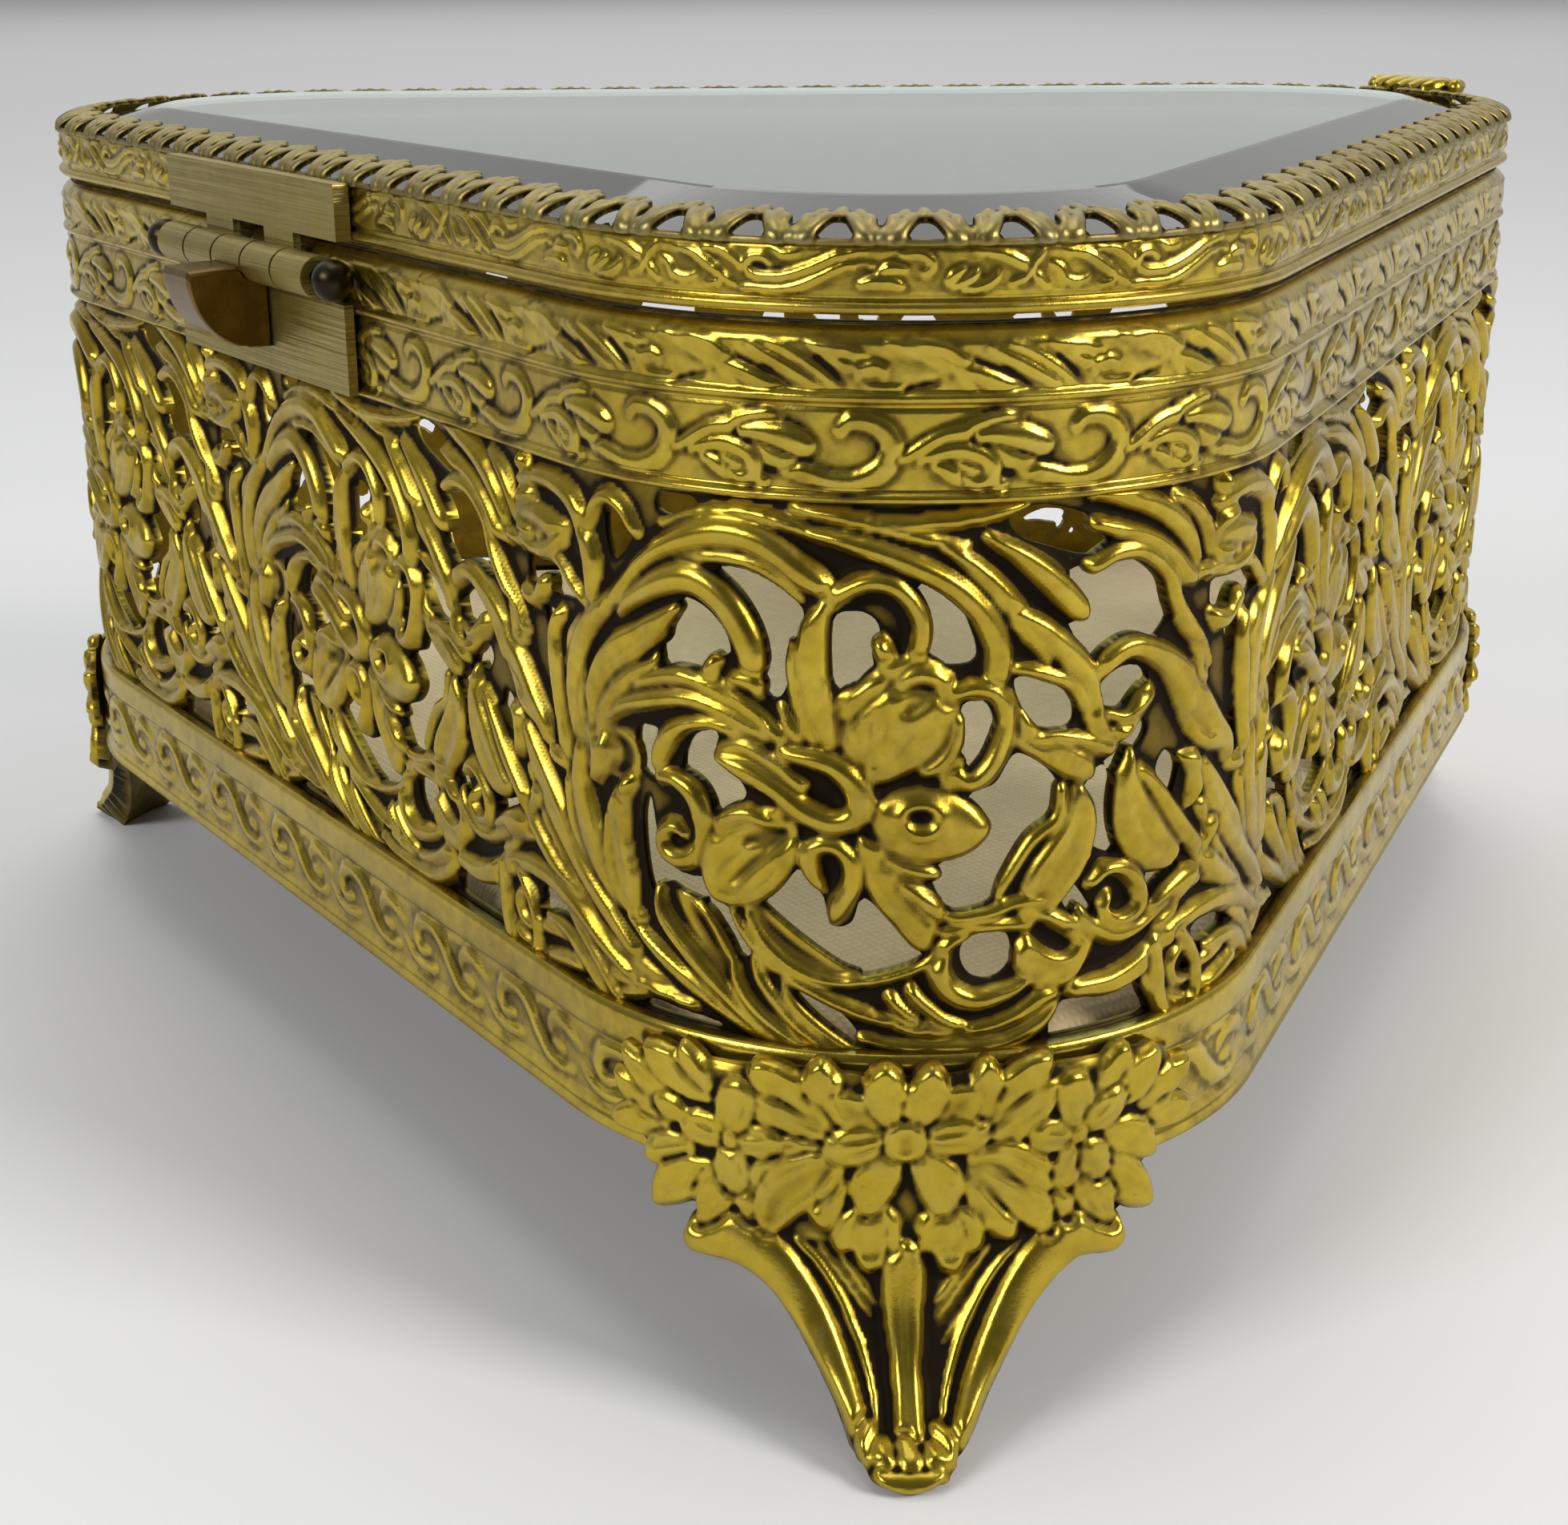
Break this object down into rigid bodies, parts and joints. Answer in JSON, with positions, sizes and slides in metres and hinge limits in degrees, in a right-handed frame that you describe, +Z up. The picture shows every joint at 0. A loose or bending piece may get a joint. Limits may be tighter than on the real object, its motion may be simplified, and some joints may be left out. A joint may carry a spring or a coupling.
{
  "type": "jewellery casket",
  "caption": "Rounded triangular casket of pierced scrollwork on splayed corner feet, with a bevelled glass lid in a toothed gallery on a stop hinge and a padded floor.",
  "frame": {"origin": "centre of the bounding box at floor level, under the middle of the stance", "axes": "+Z up, +Y toward the hinge side, +X along the hinge axis; the thumb lift is at -Y"},
  "size_m": [0.1586, 0.1511, 0.0804],
  "materials": {
    "brass_filigree": "antique gilt stamping with dark patina in the recesses",
    "brass_band": "antique gilt embossed strip",
    "brass_cast": "antique gilt casting with dark recesses",
    "brass_plain": "plain worn gilt",
    "brass_inner": "dull unpolished gilt",
    "pin_metal": "dark tarnished",
    "lid_glass": "clear, faintly green, wide polished bevel",
    "lining_fabric": "beige woven fabric over padding",
    "lining_card": "plain board, hidden under the pad"
  },
  "bodies": {
    "base": {"bottom_plate": "brass_inner", "lower_band": "brass_band", "pierced_wall_ring": "brass_filigree", "upper_band": "brass_band", "rim_bead": "brass_inner", "lining_board": "lining_card", "lining_pad": "lining_fabric", "foot_back_left": "brass_cast", "foot_back_right": "brass_cast", "foot_front": "brass_cast", "hinge_leaf_body": "brass_plain", "hinge_stop": "brass_plain", "hinge_pin": "pin_metal", "pin_ball_left": "pin_metal", "pin_ball_right": "pin_metal"},
    "lid": {"lid_band": "brass_band", "lid_edge_roll": "brass_plain", "lid_gallery": "brass_band", "glass_seat": "brass_inner", "lid_glass": "lid_glass", "hinge_leaf_lid": "brass_plain", "thumb_lift": "brass_cast"}
  },
  "joints": [
    {"name": "lid_hinge", "type": "hinge", "parent": "base", "child": "lid", "pos_m": [0.0006, 0.06976, 0.0709], "axis": [-1, 0, 0], "range_deg": [0, 94]}
  ]
}
